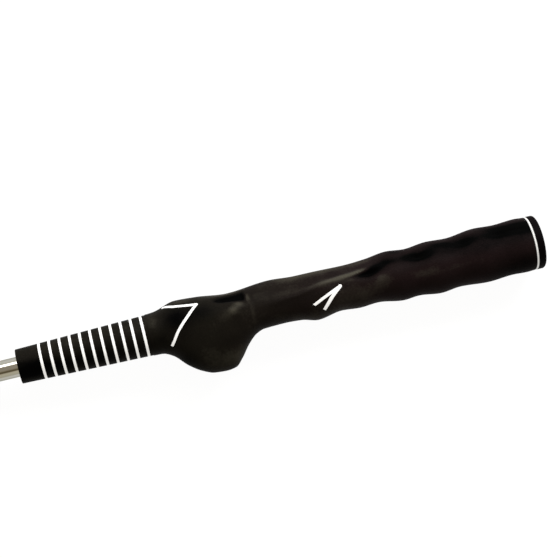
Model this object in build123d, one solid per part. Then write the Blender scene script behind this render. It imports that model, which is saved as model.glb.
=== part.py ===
from build123d import *
import os
from math import cos, pi, sin

# Swing trainer stick, in millimetres: a moulded training grip on a straight steel shaft whose far end
# carries a weight. The origin is the centre of the butt face, on the shaft's axis. +X points out of the
# butt, so the stick lies along -X. +Z is up as the stick lies on a floor, and the palm lobe points to -Y.
# A "distance" is measured along the axis from the grip's mouth, where the shaft comes out.

# Whole stick
grip_length = 267.0
stick_length = 640.0

# Shaft tube
shaft_radius = 5.0
shaft_wall = 1.5
shaft_butt_distance = 257.0

# Tapered mouth of the grip, with its white rings
mouth_radius = 8.6
taper_radius = 10.2
taper_length = 66.0
mouth_rounding = 0.3
ring_count = 11
first_ring_distance = 11.9
ring_pitch = 5.135
ring_width = 1.3
inlay_depth = 0.6

# Moulded zone of the grip: radius at each crest and valley, as (distance, radius).
# upper_edge faces +Y, lobe_edge -Y, top_edge +Z and floor_edge -Z.
moulded_start = 65.5
moulded_end = 262.0
section_pitch = 4.1
section_points = 28
upper_edge = [
    (65.5, 10.4), (70, 10.7), (81.5, 13.7), (92, 13.1), (108, 11.2), (129, 12.7), (142, 11.8),
    (152, 11.7), (167.5, 11.3), (178, 11.8), (189.5, 13.1), (199.5, 12.1), (210.5, 13.1),
    (221, 12.5), (235.5, 14.0), (246, 13.4), (257, 13.9), (262, 13.5),
]
lobe_edge = [
    (65.5, 10.4), (70, 10.6), (75, 12.9), (81, 19.0), (87, 23.3), (93, 25.7), (99.5, 26.2),
    (104, 25.5), (108, 21.8), (113, 15.7), (118, 11.6), (122, 10.3), (132.5, 10.0), (141, 10.5),
    (149.5, 12.4), (161.5, 10.6), (171.5, 11.4), (180, 10.9), (194, 12.9), (201, 12.4), (213, 13.8),
    (222.5, 12.9), (238, 14.0), (250, 13.3), (258, 13.7), (262, 13.5),
]
top_edge = [
    (65.5, 10.4), (70, 10.6), (84, 12.2), (100, 12.4), (118, 11.2), (132, 10.8), (150, 11.6),
    (167, 11.1), (180, 10.9), (191, 12.3), (200, 11.7), (212, 13.0), (222, 12.3), (236, 13.5),
    (248, 12.9), (257, 13.5), (262, 13.4),
]
floor_edge = [
    (65.5, 10.4), (70, 10.6), (83, 13.1), (99, 13.5), (116, 11.8), (132, 10.5), (150, 11.8),
    (161, 10.7), (172, 11.7), (181, 10.9), (192, 12.8), (201, 11.8), (213, 13.3), (222, 12.3),
    (237, 13.5), (249, 12.8), (257, 13.5), (262, 13.4),
]
round_exponent = 2.0
lobe_exponent_gain = 0.5
lobe_from_radius = 13.9
lobe_radius = 26.0

# White V marks, drawn on the +Z side: each arm runs (distance, Y) to (distance, Y)
lower_mark_width = 1.4
lower_mark_arms = [
    [(91.5, 9.3), (83.3, 10.2), (74.8, 11.5)],
    [(91.5, 9.3), (86.7, 5.3), (81.6, 0.5), (78.8, -2.8), (75.2, -7.8)],
]
upper_mark_width = 1.6
upper_mark_arms = [
    [(162.4, 1.5), (148.1, -4.4)],
    [(162.4, 1.5), (153.1, -7.7)],
]
mark_depth = 0.5
mark_height = 20.0

# Butt end
ring_end_distance = 262.9
butt_ring_radius = 13.5
butt_ring_floor_radius = 12.5
cap_radius = 13.6
cap_rounding = 1.5
spigot_radius = 7.6
vent_radius = 1.5
bore_chamfer = 0.4

# Build-up sleeve and tape inside the grip
lip_length = 5.0
sleeve_mouth_radius = 5.7
sleeve_butt_radius = 7.4
tape_thickness = 0.15

# Weighted head
head_radius = cap_radius
head_length = 85.0
head_chamfer = 1.5
head_socket_depth = 45.0
head_web = 8.0
counterbore_radius = 7.5
screw_clearance_radius = 3.3
bumper_radius = 13.0
bumper_thickness = 9.0
bumper_rounding = 3.0
bumper_plug_length = 12.0
ferrule_length = 24.0
ferrule_small_radius = 5.9
ferrule_large_radius = 9.5
ferrule_rounding = 0.5

# Fastening of the head: plug in the tube, screw and washers
plug_length = 24.0
plug_bore_depth = 20.0
screw_radius = 3.0
screw_grip = 18.0
screw_head_radius = 5.0
screw_head_height = 6.0
socket_across_corners = 5.8
socket_depth = 3.0
washer_radius = 6.0
washer_thickness = 1.6
spring_washer_gap = 1.2

bumper_face = -stick_length
head_front = bumper_face + bumper_thickness
head_back = head_front + head_length
shaft_tip = head_back - head_socket_depth
web_front = shaft_tip - head_web
screw_head_seat = web_front - 2 * washer_thickness


def from_mouth(distance):
    """X of a point at a distance from the grip's mouth."""
    return distance - grip_length


def turned(corners):
    """Solid of revolution about the shaft axis, from corners given as (X, radius)."""
    return revolve(make_face(Polyline(*corners, close=True)), Axis.X)


def tube(start, end, outer, inner):
    """Straight hollow cylinder on the shaft axis."""
    return turned([(start, inner), (end, inner), (end, outer), (start, outer)])


def steepness(edge, index):
    """Slope of an edge curve at one of its points, zero at each crest and valley."""
    if index == 0 or index == len(edge) - 1:
        return 0.0
    before = (edge[index][1] - edge[index - 1][1]) / (edge[index][0] - edge[index - 1][0])
    after = (edge[index + 1][1] - edge[index][1]) / (edge[index + 1][0] - edge[index][0])
    if before * after <= 0:
        return 0.0
    return 2 * before * after / (before + after)


def edge_radius(edge, distance):
    """Radius of an edge curve at a distance: a smooth cubic that never overshoots its points."""
    last = len(edge) - 2
    index = next((i for i in range(last) if distance <= edge[i + 1][0]), last)
    (start, low), (end, high) = edge[index], edge[index + 1]
    span = end - start
    t = (distance - start) / span
    rise = (3 - 2 * t) * t * t * (high - low)
    bend = t * (1 - t) * ((1 - t) * steepness(edge, index) - t * steepness(edge, index + 1)) * span
    return low + rise + bend


def section_radius(distance, angle):
    """Polar radius of the moulded rubber; angle 0 faces +Y and 90 degrees faces +Z."""
    reach_y = edge_radius(upper_edge if cos(angle) > 0 else lobe_edge, distance)
    reach_z = edge_radius(top_edge if sin(angle) > 0 else floor_edge, distance)
    exponent = round_exponent
    if cos(angle) < 0 and sin(angle) < 0:
        lobe_share = max(0.0, reach_y - lobe_from_radius) / (lobe_radius - lobe_from_radius)
        exponent += lobe_exponent_gain * lobe_share
    total = abs(cos(angle) / reach_y) ** exponent + abs(sin(angle) / reach_z) ** exponent
    return total ** (-1 / exponent)


def section_wire(distance, inset):
    """Closed outline of the moulded rubber at a distance, drawn in by inset.

    Every outline takes the same spacing of its points, so that the loft's surface stays light.
    """
    points = []
    for step in range(section_points):
        angle = 2 * pi * step / section_points
        radius = section_radius(distance, angle) - inset
        points.append((from_mouth(distance), radius * cos(angle), radius * sin(angle)))
    spacing = [step / section_points for step in range(section_points + 1)]
    return Wire([Edge.make_spline(points, periodic=True, parameters=spacing)])


def moulded_body(start, end, inset):
    """Moulded rubber between two distances, as a solid without its bore."""
    sections = round((end - start) / section_pitch)
    wires = [
        section_wire(start + (end - start) * step / sections, inset)
        for step in range(sections + 1)
    ]
    return Solid.make_loft(wires)


def taper_radius_at(distance):
    """Outer radius of the tapered mouth zone."""
    return mouth_radius + (taper_radius - mouth_radius) * distance / taper_length


def make_ring_mark(index):
    """White ring let flush into the tapered mouth zone."""
    start = first_ring_distance + index * ring_pitch - ring_width / 2
    end = start + ring_width
    floor_radius = taper_radius_at(start) - inlay_depth
    return turned([
        (from_mouth(start), floor_radius),
        (from_mouth(end), floor_radius),
        (from_mouth(end), taper_radius_at(end)),
        (from_mouth(start), taper_radius_at(start)),
    ])


def mark_prism(arms, width):
    """Upright prism of constant width along the arms of a V mark."""
    prism = None
    for arm in arms:
        path = Polyline(*[(from_mouth(distance), y) for distance, y in arm])
        outline = make_face(offset(path, amount=width / 2, kind=Kind.ARC))
        bar = extrude(outline, amount=mark_height)
        prism = bar if prism is None else prism + bar
    return prism


def make_v_mark(arms, width, outer, core):
    """V mark as a thin inlay that follows the rubber's outer surface."""
    return (mark_prism(arms, width) & outer) - core


def bore_corners():
    """Half outline of the grip's bore: a lip on the bare shaft, then a standard taper."""
    tape_start = from_mouth(lip_length)
    tape_end = from_mouth(shaft_butt_distance)
    overrun = 1.0
    return [
        (from_mouth(-overrun), 0),
        (from_mouth(-overrun), shaft_radius),
        (tape_start, shaft_radius),
        (tape_start, sleeve_mouth_radius + tape_thickness),
        (tape_end, sleeve_butt_radius + tape_thickness),
        (tape_end, spigot_radius),
        (from_mouth(moulded_end + overrun), spigot_radius),
        (from_mouth(moulded_end + overrun), 0),
    ]


def make_mouth_taper():
    """Tapered mouth zone as a solid cone with a rounded front edge."""
    cone = turned([
        (from_mouth(0), 0),
        (from_mouth(0), mouth_radius),
        (from_mouth(taper_length), taper_radius),
        (from_mouth(taper_length), 0),
    ])
    front = cone.edges().filter_by(GeomType.CIRCLE).sort_by(Axis.X)[0]
    return fillet(front, mouth_rounding)


def make_grip_sleeve(outer, inlays):
    """Moulded rubber grip with its bore and the grooves for its inlays."""
    sleeve = make_mouth_taper() + outer - turned(bore_corners())
    for inlay in inlays:
        sleeve = sleeve - inlay
    return sleeve


def make_butt_ring_mark():
    """White ring between the grip and its cap."""
    start = from_mouth(moulded_end)
    return tube(start, from_mouth(ring_end_distance), butt_ring_radius, butt_ring_floor_radius)


def make_butt_cap():
    """Cap with a spigot in the grip's bore, a seat for the white ring and a vent hole."""
    spigot_start = from_mouth(shaft_butt_distance)
    seat_start = from_mouth(moulded_end)
    seat_end = from_mouth(ring_end_distance)
    cap = turned([
        (spigot_start, vent_radius),
        (0, vent_radius),
        (0, cap_radius),
        (seat_end, cap_radius),
        (seat_end, butt_ring_floor_radius),
        (seat_start, butt_ring_floor_radius),
        (seat_start, spigot_radius),
        (spigot_start, spigot_radius),
    ])
    face_edges = cap.edges().filter_by(GeomType.CIRCLE).group_by(Axis.X)[-1].sort_by(SortBy.RADIUS)
    cap = fillet(face_edges[-1], cap_rounding)
    vent_edge = cap.edges().filter_by(GeomType.CIRCLE).group_by(Axis.X)[-1].sort_by(SortBy.RADIUS)[0]
    return chamfer(vent_edge, bore_chamfer)


def make_shaft():
    """Straight steel tube from inside the butt to inside the head."""
    inner = shaft_radius - shaft_wall
    return tube(shaft_tip, from_mouth(shaft_butt_distance), shaft_radius, inner)


def sleeve_layer(inner_offset, outer_offset):
    """Corners of a tapered layer under the grip, between two offsets from the sleeve's surface."""
    start = from_mouth(lip_length)
    end = from_mouth(shaft_butt_distance)
    return [
        (start, sleeve_mouth_radius + outer_offset),
        (end, sleeve_butt_radius + outer_offset),
        (end, sleeve_butt_radius + inner_offset),
        (start, sleeve_mouth_radius + inner_offset),
    ]


def make_build_up_sleeve():
    """Tapered plastic sleeve that fills the grip's bore round the straight shaft."""
    outer_start, outer_end = sleeve_layer(0, 0)[:2]
    return turned([outer_start, outer_end, (outer_end[0], shaft_radius), (outer_start[0], shaft_radius)])


def make_grip_tape():
    """Double-sided tape wrapped on the build-up sleeve."""
    return turned(sleeve_layer(0, tape_thickness))


def make_ferrule():
    """Tapered collar between the shaft and the head."""
    ferrule = turned([
        (head_back, shaft_radius),
        (head_back, ferrule_large_radius),
        (head_back + ferrule_length, ferrule_small_radius),
        (head_back + ferrule_length, shaft_radius),
    ])
    outer_edge = ferrule.edges().filter_by(GeomType.CIRCLE).group_by(Axis.X)[-1].sort_by(SortBy.RADIUS)[-1]
    return fillet(outer_edge, ferrule_rounding)


def make_head_weight():
    """Steel cylinder with a socket for the shaft, a web for the screw and a counterbore."""
    head = turned([
        (head_back, shaft_radius),
        (head_back, head_radius),
        (head_front, head_radius),
        (head_front, counterbore_radius),
        (web_front, counterbore_radius),
        (web_front, screw_clearance_radius),
        (shaft_tip, screw_clearance_radius),
        (shaft_tip, shaft_radius),
    ])
    rings = head.edges().filter_by(GeomType.CIRCLE).group_by(Axis.X)
    rims = [rings[0].sort_by(SortBy.RADIUS)[-1], rings[-1].sort_by(SortBy.RADIUS)[-1]]
    return chamfer(rims, head_chamfer)


def make_tip_plug():
    """Threaded plug pressed into the shaft's tip; the thread is a plain hole."""
    outer = shaft_radius - shaft_wall
    return turned([
        (shaft_tip, screw_radius),
        (shaft_tip + plug_bore_depth, screw_radius),
        (shaft_tip + plug_bore_depth, 0),
        (shaft_tip + plug_length, 0),
        (shaft_tip + plug_length, outer),
        (shaft_tip, outer),
    ])


def make_flat_washer():
    """Plain washer on the head's web."""
    return tube(web_front - washer_thickness, web_front, washer_radius, screw_clearance_radius)


def make_spring_washer():
    """Split washer between the screw's head and the plain washer."""
    ring = tube(screw_head_seat, screw_head_seat + washer_thickness, washer_radius, screw_clearance_radius)
    slot = Box(2 * washer_thickness, washer_radius, spring_washer_gap)
    middle = screw_head_seat + washer_thickness / 2
    return ring - Pos(middle, washer_radius / 2 + screw_radius / 2, 0) * slot


def make_retaining_screw():
    """Socket-head screw from the counterbore into the plug."""
    head_face = screw_head_seat - screw_head_height
    screw = turned([
        (head_face, 0),
        (head_face, screw_head_radius),
        (screw_head_seat, screw_head_radius),
        (screw_head_seat, screw_radius),
        (shaft_tip + screw_grip, screw_radius),
        (shaft_tip + screw_grip, 0),
    ])
    socket = extrude(
        Plane.YZ.offset(head_face) * RegularPolygon(socket_across_corners / 2, 6),
        amount=socket_depth,
    )
    return screw - socket


def make_end_bumper():
    """Rubber plug that closes the counterbore and cushions the head's end."""
    bumper = turned([
        (bumper_face, 0),
        (bumper_face, bumper_radius),
        (head_front, bumper_radius),
        (head_front, counterbore_radius),
        (head_front + bumper_plug_length, counterbore_radius),
        (head_front + bumper_plug_length, 0),
    ])
    rim = bumper.edges().filter_by(GeomType.CIRCLE).group_by(Axis.X)[0].sort_by(SortBy.RADIUS)[-1]
    return fillet(rim, bumper_rounding)


def make_grip_nodes():
    """Grip with everything let into its surface."""
    outer = moulded_body(moulded_start, moulded_end, 0)
    core = moulded_body(moulded_start, moulded_end, mark_depth)
    nodes = {f"ring_mark_{index + 1:02d}": make_ring_mark(index) for index in range(ring_count)}
    nodes["lower_hand_mark"] = make_v_mark(lower_mark_arms, lower_mark_width, outer, core)
    nodes["upper_hand_mark"] = make_v_mark(upper_mark_arms, upper_mark_width, outer, core)
    nodes["grip_sleeve"] = make_grip_sleeve(outer, list(nodes.values()))
    return nodes


nodes = make_grip_nodes()
nodes["butt_ring_mark"] = make_butt_ring_mark()
nodes["butt_cap"] = make_butt_cap()
nodes["shaft"] = make_shaft()
nodes["build_up_sleeve"] = make_build_up_sleeve()
nodes["grip_tape"] = make_grip_tape()
nodes["ferrule"] = make_ferrule()
nodes["head_weight"] = make_head_weight()
nodes["tip_plug"] = make_tip_plug()
nodes["flat_washer"] = make_flat_washer()
nodes["spring_washer"] = make_spring_washer()
nodes["retaining_screw"] = make_retaining_screw()
nodes["end_bumper"] = make_end_bumper()

os.makedirs("parts", exist_ok=True)
for name, solid in nodes.items():
    export_step(solid, f"parts/{name}.step")
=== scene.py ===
"""Looks of the swing trainer stick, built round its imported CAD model. Lengths are in millimetres until
a mesh is made, and angles in degrees. A "distance" runs along the shaft from the grip's mouth."""
import math

import bmesh
import bpy
from mathutils import Matrix, Vector


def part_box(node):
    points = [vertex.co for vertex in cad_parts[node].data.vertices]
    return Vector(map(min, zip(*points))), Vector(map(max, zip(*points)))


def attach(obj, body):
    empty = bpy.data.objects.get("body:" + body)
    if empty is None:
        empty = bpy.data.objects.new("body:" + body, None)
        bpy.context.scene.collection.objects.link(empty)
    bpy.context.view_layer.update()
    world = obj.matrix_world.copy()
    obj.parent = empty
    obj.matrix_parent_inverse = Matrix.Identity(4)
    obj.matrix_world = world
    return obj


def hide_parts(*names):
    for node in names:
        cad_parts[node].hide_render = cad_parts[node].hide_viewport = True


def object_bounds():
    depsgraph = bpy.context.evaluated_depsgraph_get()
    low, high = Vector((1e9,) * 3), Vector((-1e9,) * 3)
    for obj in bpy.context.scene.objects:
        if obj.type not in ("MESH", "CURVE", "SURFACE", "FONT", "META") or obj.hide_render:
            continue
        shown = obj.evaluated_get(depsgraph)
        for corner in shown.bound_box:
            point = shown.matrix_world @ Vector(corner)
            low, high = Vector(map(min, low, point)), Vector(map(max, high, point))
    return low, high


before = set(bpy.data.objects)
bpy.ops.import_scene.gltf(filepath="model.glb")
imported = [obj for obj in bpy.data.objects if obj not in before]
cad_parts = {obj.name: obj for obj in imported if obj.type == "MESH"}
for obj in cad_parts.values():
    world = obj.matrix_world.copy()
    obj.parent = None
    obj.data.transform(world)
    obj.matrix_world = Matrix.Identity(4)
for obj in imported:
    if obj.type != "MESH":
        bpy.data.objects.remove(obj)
cad_box = [list(corner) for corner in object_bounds()]

MM = 0.001


# ---------------------------------------------------------------- sizes read from the CAD frame

def reach(node):
    """(lowest X, highest X, largest radius) of a CAD node, in millimetres."""
    low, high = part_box(node)
    return low.x / MM, high.x / MM, max(high.y, high.z) / MM


GRIP_LENGTH = -reach("grip_sleeve")[0]
MOULDED_END = GRIP_LENGTH + reach("grip_sleeve")[1]
RING_NODES = sorted(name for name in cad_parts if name.startswith("ring_mark_"))
SHAFT_RADIUS = reach("shaft")[2]
FLOOR_LEVEL = cad_box[0][2] / MM

# ---------------------------------------------------------------- shape of the moulded grip

# Tapered mouth end, and the small step from it up to the moulded zone
MOUTH_RADIUS = 8.6
TAPER_RADIUS = 10.2
TAPER_LENGTH = 66.0
STEP_START = 65.3
STEP_END = 65.9
MOULDED_START = 65.5

# Cross-section of the moulded zone: elliptical, but squarer under the lobe, from the side radius at
# which the lobe begins to its full radius
ROUND_EXPONENT = 2.0
LOBE_EXPONENT_GAIN = 0.5
LOBE_FROM_RADIUS = 13.9
LOBE_RADIUS = 26.0

# Radius at each crest and valley, as (distance, radius), on the four sides of the grip
UPPER_EDGE = [
    (65.5, 10.4), (70, 10.7), (81.5, 13.7), (92, 13.1), (108, 11.2), (129, 12.7), (142, 11.8),
    (152, 11.7), (167.5, 11.3), (178, 11.8), (189.5, 13.1), (199.5, 12.1), (210.5, 13.1),
    (221, 12.5), (235.5, 14.0), (246, 13.4), (257, 13.9), (262, 13.5),
]
LOBE_EDGE = [
    (65.5, 10.4), (70, 10.6), (75, 12.9), (81, 19.0), (87, 23.3), (93, 25.7), (99.5, 26.2),
    (104, 25.5), (108, 21.8), (113, 15.7), (118, 11.6), (122, 10.3), (132.5, 10.0), (141, 10.5),
    (149.5, 12.4), (161.5, 10.6), (171.5, 11.4), (180, 10.9), (194, 12.9), (201, 12.4), (213, 13.8),
    (222.5, 12.9), (238, 14.0), (250, 13.3), (258, 13.7), (262, 13.5),
]
TOP_EDGE = [
    (65.5, 10.4), (70, 10.6), (84, 12.2), (100, 12.4), (118, 11.2), (132, 10.8), (150, 11.6),
    (167, 11.1), (180, 10.9), (191, 12.3), (200, 11.7), (212, 13.0), (222, 12.3), (236, 13.5),
    (248, 12.9), (257, 13.5), (262, 13.4),
]
FLOOR_EDGE = [
    (65.5, 10.4), (70, 10.6), (83, 13.1), (99, 13.5), (116, 11.8), (132, 10.5), (150, 11.8),
    (161, 10.7), (172, 11.7), (181, 10.9), (192, 12.8), (201, 11.8), (213, 13.3), (222, 12.3),
    (237, 13.5), (249, 12.8), (257, 13.5), (262, 13.4),
]

# Soft dents and bumps, with heights judged from the photo's shading: (distance, angle, height, half
# length, half angle)
RELIEF = [
    # dents beside the finger tips, and the rise behind the first two
    (178.0, 66.0, -1.5, 5.5, 10.0),
    (187.0, 52.0, -0.8, 4.0, 11.0),
    (184.0, 92.0, 0.5, 6.0, 24.0),
    (198.5, 47.0, -0.5, 4.0, 11.0),
    (204.5, 57.0, -1.3, 4.5, 12.0),
    (227.0, 48.0, -1.3, 4.2, 12.0),
    (246.0, 48.0, -1.4, 5.0, 12.0),
    (257.0, 53.0, -0.7, 5.0, 11.0),
    # swelling beside the groove, and the ridge round the waist
    (109.5, 77.0, 1.0, 4.2, 16.0),
    (117.0, 96.0, 0.25, 1.4, 38.0),
    # finger valleys on the underside
    (200.0, 290.0, -0.8, 5.0, 35.0),
    (221.5, 290.0, -0.8, 5.0, 35.0),
    (247.0, 290.0, -0.7, 5.0, 35.0),
]

# A soft spot is left out beyond this many half lengths or half angles
SPOT_REACH = 3.0

# The trench beside the finger tips: its line as (distance, angle), depth and half angles
TRENCH_LINE = [(172, 66), (182, 62), (190, 50), (205, 53), (228, 48), (247, 48), (262, 54)]
TRENCH_FADE_IN = (170, 178)
TRENCH_DEPTH = 0.7
TRENCH_RIM_SIDE = 8.0
TRENCH_CROWN_SIDE = 24.0

# The wedge-shaped groove above the lobe: its line as (distance, angle), depth and half angles at its ends
GROOVE_LINE = [(102, 42), (117, 44)]
GROOVE_FADE_IN = (98, 105)
GROOVE_FADE_OUT = (114.2, 116.0)
GROOVE_DROP = 1.9
GROOVE_START_WIDTH = 8.0
GROOVE_END_WIDTH = 14.0

# The thumb flat, and the crest along its edge with its line as (distance, angle)
FLAT_FADE_IN = (118, 146)
FLAT_FADE_OUT = (178, 192)
FLAT_LOW_ANGLE = 10.0
FLAT_HALF_ARC = 75.0
CREST_LINE = [(118, 88), (142, 79), (153, 67), (162, 60), (177, 55), (190, 50)]
CREST_SHARPNESS = 3.0
CREST_HEIGHT = 0.5
CREST_HALF_ANGLE = 7.0


def steepness(edge, index):
    """Slope of an edge curve at one of its points, zero at each crest and valley."""
    if index == 0 or index == len(edge) - 1:
        return 0.0
    before = (edge[index][1] - edge[index - 1][1]) / (edge[index][0] - edge[index - 1][0])
    after = (edge[index + 1][1] - edge[index][1]) / (edge[index + 1][0] - edge[index][0])
    if before * after <= 0:
        return 0.0
    return 2 * before * after / (before + after)


def edge_radius(edge, distance):
    """Radius of an edge curve at a distance: a smooth cubic that never overshoots its points."""
    last = len(edge) - 2
    index = next((i for i in range(last) if distance <= edge[i + 1][0]), last)
    (start, low), (end, high) = edge[index], edge[index + 1]
    span = end - start
    t = (distance - start) / span
    rise = (3 - 2 * t) * t * t * (high - low)
    bend = t * (1 - t) * ((1 - t) * steepness(edge, index) - t * steepness(edge, index + 1)) * span
    return low + rise + bend


def smooth_step(low, high, value):
    """0 below low, 1 above high and a smooth rise between."""
    t = min(1.0, max(0.0, (value - low) / (high - low)))
    return t * t * (3 - 2 * t)


def faded_span(fade_in, fade_out, distance):
    """1 along a stretch of the grip, with a smooth fade at each end, given as (start, end)."""
    return smooth_step(*fade_in, distance) * (1 - smooth_step(*fade_out, distance))


def bell(value, half_width):
    """Bell curve: 1 at zero and about a third at the half width."""
    return math.exp(-(value / half_width) ** 2)


def turn_between(angle, other):
    """Difference of two angles in degrees, from -180 to 180."""
    return (angle - other + 180) % 360 - 180


def along_line(line, distance):
    """Angle of a line drawn along the grip, at a distance."""
    if distance <= line[0][0]:
        return line[0][1]
    for (start, low), (end, high) in zip(line, line[1:]):
        if distance <= end:
            return low + (high - low) * (distance - start) / (end - start)
    return line[-1][1]


def spots_at(spots, distance, angle):
    """Sum of soft spots at a place, each (distance, angle, height, half length, half angle)."""
    total = 0.0
    for place, facing, height, length, width in spots:
        along = (distance - place) / length
        around = turn_between(angle, facing) / width
        if abs(along) < SPOT_REACH and abs(around) < SPOT_REACH:
            total += height * math.exp(-along * along - around * around)
    return total


def radius_of_round(distance):
    """Mean radius of the top and upper edges."""
    return (edge_radius(UPPER_EDGE, distance) + edge_radius(TOP_EDGE, distance)) / 2


def thumb_flat(distance, angle, radius):
    """Radius after the long thumb flat is cut from the +Y side, with a crest along its edge."""
    share = faded_span(FLAT_FADE_IN, FLAT_FADE_OUT, distance)
    crest = along_line(CREST_LINE, distance)
    middle = (crest + FLAT_LOW_ANGLE) / 2
    off = turn_between(angle, middle)
    if share == 0 or abs(off) > FLAT_HALF_ARC:
        return radius
    depth = math.cos(math.radians(crest - middle)) * radius_of_round(distance)
    plane = depth / math.cos(math.radians(off))
    blend = math.exp(-CREST_SHARPNESS * radius) + math.exp(-CREST_SHARPNESS * plane)
    flat = -math.log(blend) / CREST_SHARPNESS
    ridge = CREST_HEIGHT * bell(turn_between(angle, crest), CREST_HALF_ANGLE)
    return radius + share * (flat - radius + ridge)


def trench(distance, angle):
    """Depth of the trench that runs beside the finger tips to the butt."""
    off = turn_between(angle, along_line(TRENCH_LINE, distance))
    half_width = TRENCH_RIM_SIDE if off < 0 else TRENCH_CROWN_SIDE
    return TRENCH_DEPTH * smooth_step(*TRENCH_FADE_IN, distance) * bell(off, half_width)


def groove(distance, angle):
    """Depth of the groove above the lobe, from 0 to 1: it widens, then ends sharply at the ridge."""
    along = smooth_step(GROOVE_LINE[0][0], GROOVE_LINE[-1][0], distance)
    half_width = GROOVE_START_WIDTH + (GROOVE_END_WIDTH - GROOVE_START_WIDTH) * along
    off = turn_between(angle, along_line(GROOVE_LINE, distance))
    return faded_span(GROOVE_FADE_IN, GROOVE_FADE_OUT, distance) * bell(off, half_width)


def moulded_radius(distance, angle):
    """Polar radius of the moulded zone; angle 0 faces +Y and 90 faces +Z."""
    across, up = math.cos(math.radians(angle)), math.sin(math.radians(angle))
    reach_y = edge_radius(UPPER_EDGE if across > 0 else LOBE_EDGE, distance)
    reach_z = edge_radius(TOP_EDGE if up > 0 else FLOOR_EDGE, distance)
    exponent = ROUND_EXPONENT
    if across < 0 and up < 0:
        lobe_share = max(0.0, reach_y - LOBE_FROM_RADIUS) / (LOBE_RADIUS - LOBE_FROM_RADIUS)
        exponent += LOBE_EXPONENT_GAIN * lobe_share
    total = abs(across / reach_y) ** exponent + abs(up / reach_z) ** exponent
    radius = thumb_flat(distance, angle, total ** (-1 / exponent)) - trench(distance, angle)
    return radius - GROOVE_DROP * groove(distance, angle) + spots_at(RELIEF, distance, angle)


def grip_radius(distance, angle):
    """Outer radius of the rubber anywhere on the grip."""
    taper = MOUTH_RADIUS + (TAPER_RADIUS - MOUTH_RADIUS) * distance / TAPER_LENGTH
    if distance <= STEP_START:
        return taper
    moulded = moulded_radius(max(distance, MOULDED_START), angle)
    return taper + smooth_step(STEP_START, STEP_END, distance) * (moulded - taper)


def on_surface(point):
    """(distance, angle) of the rubber's surface under a point."""
    return point.x / MM + GRIP_LENGTH, math.degrees(math.atan2(point.z, point.y))


# Painted highlights and painted shade on the rubber, set against the photo and so only on the side
# that it shows: (distance, angle, gain in painted tone, half length, half angle)
SHADE_AND_HIGHLIGHT_SPOTS = [
    # tapered mouth end
    (30.0, 119.0, -0.4, 36.0, 34.0),
    (6.0, 110.0, -0.45, 10.0, 34.0),
    (2.5, 82.0, -0.22, 4.5, 9.0),
    (5.5, 66.0, 0.1, 4.0, 16.0),
    (36.0, 50.0, 0.05, 36.0, 22.0),
    # neck between the rings and the lobe
    (69.2, 60.0, 0.1, 2.0, 26.0),
    (71.0, 106.0, -0.13, 2.5, 15.0),
    (79.5, 66.0, -0.46, 7.0, 32.0),
    (81.0, 165.0, -0.25, 6.0, 24.0),
    (82.0, 24.0, 0.2, 7.0, 10.0),
    (93.0, 66.0, -0.32, 9.0, 20.0),
    # lobe, the swelling on it and the ridge behind
    (98.0, 152.0, 0.09, 13.0, 18.0),
    (103.0, 138.0, -0.12, 8.0, 11.0),
    (104.5, 86.0, 0.12, 4.0, 12.0),
    (106.0, 163.0, 0.12, 7.0, 9.0),
    (107.0, 15.0, 0.35, 8.0, 9.0),
    (108.3, 79.0, 0.42, 2.3, 8.0),
    (110.0, 113.0, -0.12, 3.5, 14.0),
    (111.6, 66.0, 0.4, 2.3, 8.0),
    (116.6, 53.0, 0.3, 0.9, 10.0),
    (117.5, 95.0, 0.08, 1.2, 32.0),
    # waist and thumb flat
    (132.0, 66.0, 0.05, 9.0, 12.0),
    (136.0, 90.0, -0.15, 12.0, 16.0),
    (142.0, 12.0, 0.1, 6.0, 10.0),
    (151.0, 68.0, 0.14, 7.0, 9.0),
    (152.0, 6.0, 0.33, 19.0, 15.0),
    (158.0, 150.0, 0.1, 22.0, 22.0),
    (168.5, 72.0, 0.16, 2.2, 5.5),
    (169.0, 110.0, 0.09, 13.0, 22.0),
    (177.0, 14.0, 0.12, 7.0, 10.0),
    # hollows beside the finger tips
    (176.0, 66.0, -0.6, 5.6, 8.0),
    (179.0, 80.0, -0.14, 5.0, 8.0),
    (182.0, 54.5, -0.6, 4.2, 10.0),
    (186.5, 45.0, -0.26, 3.2, 9.0),
    (191.0, 50.0, -0.2, 3.0, 8.0),
    (193.0, 24.0, -0.22, 4.0, 10.0),
    (199.5, 46.0, -0.36, 4.2, 9.0),
    (205.0, 56.0, -0.42, 6.8, 12.0),
    (216.0, 38.0, -0.34, 6.0, 9.0),
    (221.0, 64.0, -0.12, 6.0, 10.0),
    (227.5, 46.0, -0.36, 6.0, 13.0),
    (232.0, 45.0, -0.15, 42.0, 22.0),
    (241.5, 27.0, -0.2, 6.0, 9.0),
    (247.0, 45.0, -0.4, 7.0, 15.0),
    (252.0, 41.0, -0.2, 9.0, 12.0),
    (259.0, 48.0, -0.45, 7.0, 17.0),
    # crown and lower side of the handle
    (182.9, 83.0, 0.19, 2.8, 8.0),
    (184.0, 94.0, 0.14, 4.5, 18.0),
    (200.0, 78.0, -0.1, 6.0, 12.0),
    (206.5, 101.0, 0.12, 5.0, 11.0),
    (208.0, 93.0, 0.07, 20.0, 14.0),
    (215.4, 94.0, -0.1, 4.0, 10.0),
    (240.0, 100.0, 0.1, 20.0, 12.0),
    (242.0, 76.0, -0.2, 18.0, 14.0),
    (244.0, 83.0, 0.1, 5.0, 9.0),
    (247.0, 102.0, -0.08, 8.0, 10.0),
    (254.0, 142.0, -0.3, 14.0, 32.0),
]

# Painted tone of the plain rubber, and how much darker and duller along the handle and the tapered end
BASE_PAINTED_TONE = 0.5
HANDLE_DARKENING = 0.06
HANDLE_FADE_IN = (176, 196)
TAPER_DARKENING = 0.01
TAPER_FADE_OUT = (62, 68)
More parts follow.
